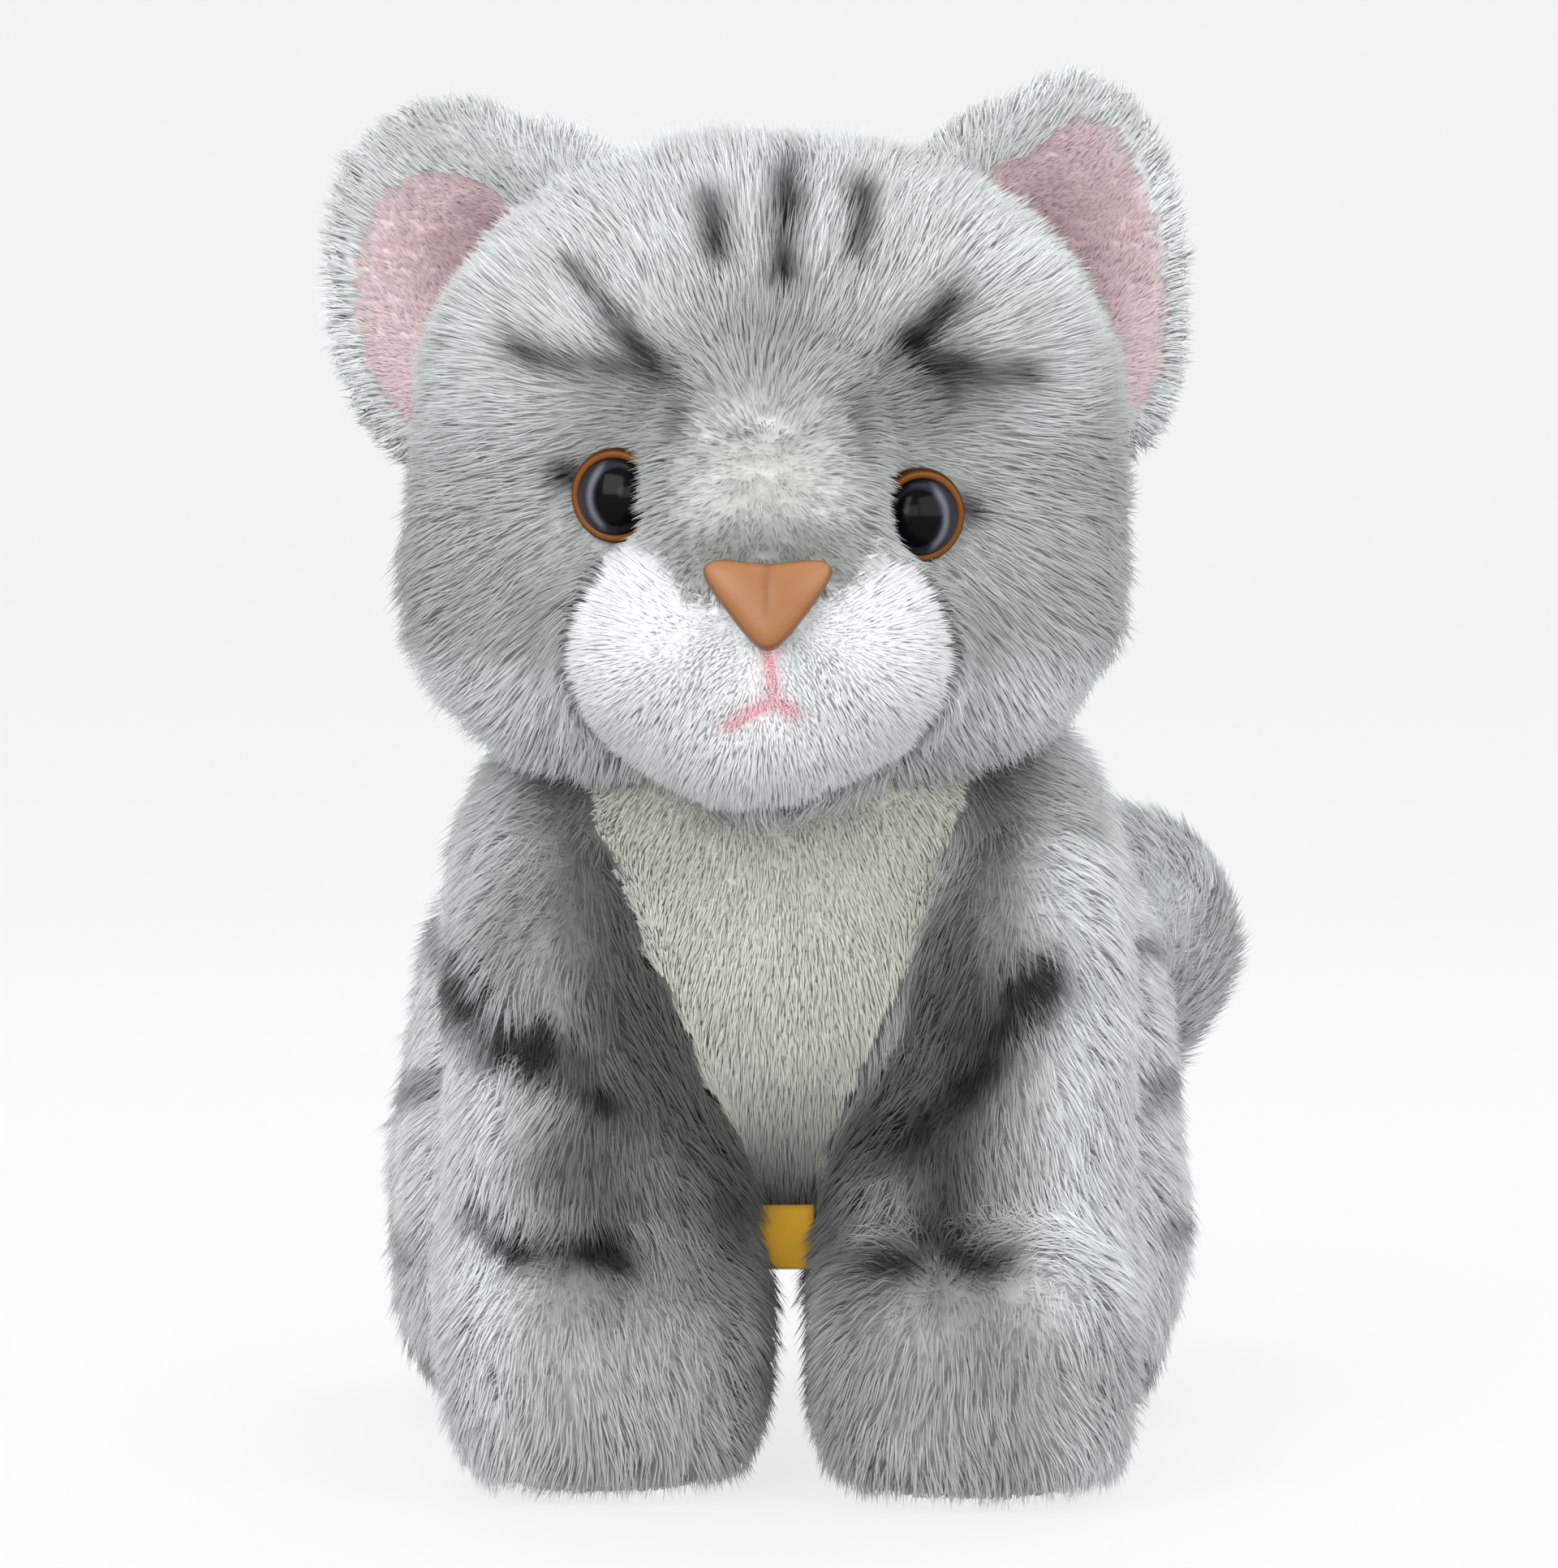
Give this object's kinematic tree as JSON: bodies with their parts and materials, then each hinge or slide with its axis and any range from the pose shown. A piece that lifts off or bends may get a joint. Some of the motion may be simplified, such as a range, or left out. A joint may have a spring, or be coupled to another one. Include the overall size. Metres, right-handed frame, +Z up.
{
  "type": "plush cat",
  "caption": "Soft toy kitten standing on short thick legs, with a big round head, a raised muzzle, cupped ears and a tail curled up to one side.",
  "frame": {"origin": "on the floor, under the middle of the box round the whole toy", "axes": "+Z up, -Y the way the kitten faces, +X to the kitten's left"},
  "size_m": [0.1292, 0.205, 0.1955],
  "materials": {
    "grey_pile": "long silver-tabby pile fabric, soft and matte",
    "white_pile": "short white pile fabric, soft and matte",
    "cream_pile": "short cream pile fabric, soft and matte",
    "pink_pile": "short pink pile fabric, soft and matte",
    "stuffing_fibre": "loose polyester fibre",
    "pouch_cloth": "plain woven cloth",
    "eye_plastic": "black pupil in a dark iris with an amber rim, polished",
    "nose_plastic": "tan, satin",
    "washer_plastic": "plain white",
    "pink_thread": "embroidery thread",
    "label_cloth": "woven, plain yellow"
  },
  "bodies": {
    "torso": {"chest_panel": "cream_pile", "belly_panel": "cream_pile", "body_side_left": "grey_pile", "body_side_right": "grey_pile", "body_stuffing": "stuffing_fibre", "pellet_pouch": "pouch_cloth"},
    "neck": {"neck_stuffing": "stuffing_fibre"},
    "head": {"head_gusset": "grey_pile", "head_side_left": "grey_pile", "head_side_right": "grey_pile", "muzzle_panel": "white_pile", "head_stuffing": "stuffing_fibre", "eye_left": "eye_plastic", "eye_washer_left": "washer_plastic", "eye_right": "eye_plastic", "eye_washer_right": "washer_plastic", "nose": "nose_plastic", "nose_washer": "washer_plastic", "mouth_thread": "pink_thread"},
    "ear_left": {"ear_back_left": "grey_pile", "ear_lining_left": "pink_pile"},
    "ear_right": {"ear_back_right": "grey_pile", "ear_lining_right": "pink_pile"},
    "front_leg_left": {"front_leg_left_skin": "grey_pile", "front_leg_left_stuffing": "stuffing_fibre"},
    "front_leg_right": {"front_leg_right_skin": "grey_pile", "front_leg_right_stuffing": "stuffing_fibre"},
    "hind_leg_left": {"hind_leg_left_skin": "grey_pile", "hind_leg_left_stuffing": "stuffing_fibre"},
    "hind_leg_right": {"hind_leg_right_skin": "grey_pile", "hind_leg_right_stuffing": "stuffing_fibre"},
    "tail": {"tail_skin": "grey_pile", "tail_stuffing": "stuffing_fibre"},
    "label": {"care_label": "label_cloth"}
  },
  "joints": [
    {"name": "neck_turn", "type": "hinge", "parent": "torso", "child": "neck", "pos_m": [-0.00221, -0.03332, 0.098], "axis": [0, 0, 1], "range_deg": [-20, 20], "stiffness_Nm_per_rad": 0.4},
    {"name": "head_nod", "type": "hinge", "parent": "neck", "child": "head", "pos_m": [-0.00221, -0.03332, 0.098], "axis": [1, 0, 0], "range_deg": [-8, 8], "stiffness_Nm_per_rad": 0.6},
    {"name": "ear_left_bend", "type": "hinge", "parent": "head", "child": "ear_left", "pos_m": [0.03129, -0.03932, 0.1685], "axis": [0.7969, 0.2285, -0.5592], "range_deg": [-12, 12], "stiffness_Nm_per_rad": 0.03},
    {"name": "ear_right_bend", "type": "hinge", "parent": "head", "child": "ear_right", "pos_m": [-0.03971, -0.03932, 0.1685], "axis": [0.5785, -0.1659, 0.7986], "range_deg": [-12, 12], "stiffness_Nm_per_rad": 0.03},
    {"name": "front_leg_left_swing", "type": "hinge", "parent": "torso", "child": "front_leg_left", "pos_m": [0.02579, -0.04132, 0.066], "axis": [1, 0, 0], "range_deg": [-10, 10], "stiffness_Nm_per_rad": 0.5},
    {"name": "front_leg_right_swing", "type": "hinge", "parent": "torso", "child": "front_leg_right", "pos_m": [-0.02821, -0.04132, 0.066], "axis": [1, 0, 0], "range_deg": [-10, 10], "stiffness_Nm_per_rad": 0.5},
    {"name": "hind_leg_left_swing", "type": "hinge", "parent": "torso", "child": "hind_leg_left", "pos_m": [0.02679, 0.03968, 0.048], "axis": [1, 0, 0], "range_deg": [-10, 10], "stiffness_Nm_per_rad": 0.6},
    {"name": "hind_leg_right_swing", "type": "hinge", "parent": "torso", "child": "hind_leg_right", "pos_m": [-0.02921, 0.03968, 0.048], "axis": [1, 0, 0], "range_deg": [-10, 10], "stiffness_Nm_per_rad": 0.6},
    {"name": "tail_swing", "type": "hinge", "parent": "torso", "child": "tail", "pos_m": [0.00679, 0.07268, 0.056], "axis": [0, 0, 1], "range_deg": [-15, 15], "stiffness_Nm_per_rad": 0.05},
    {"name": "label_flap", "type": "hinge", "parent": "torso", "child": "label", "pos_m": [-0.00271, -0.04712, 0.0405], "axis": [1, 0, 0], "range_deg": [-20, 20], "stiffness_Nm_per_rad": 0.00005}
  ]
}
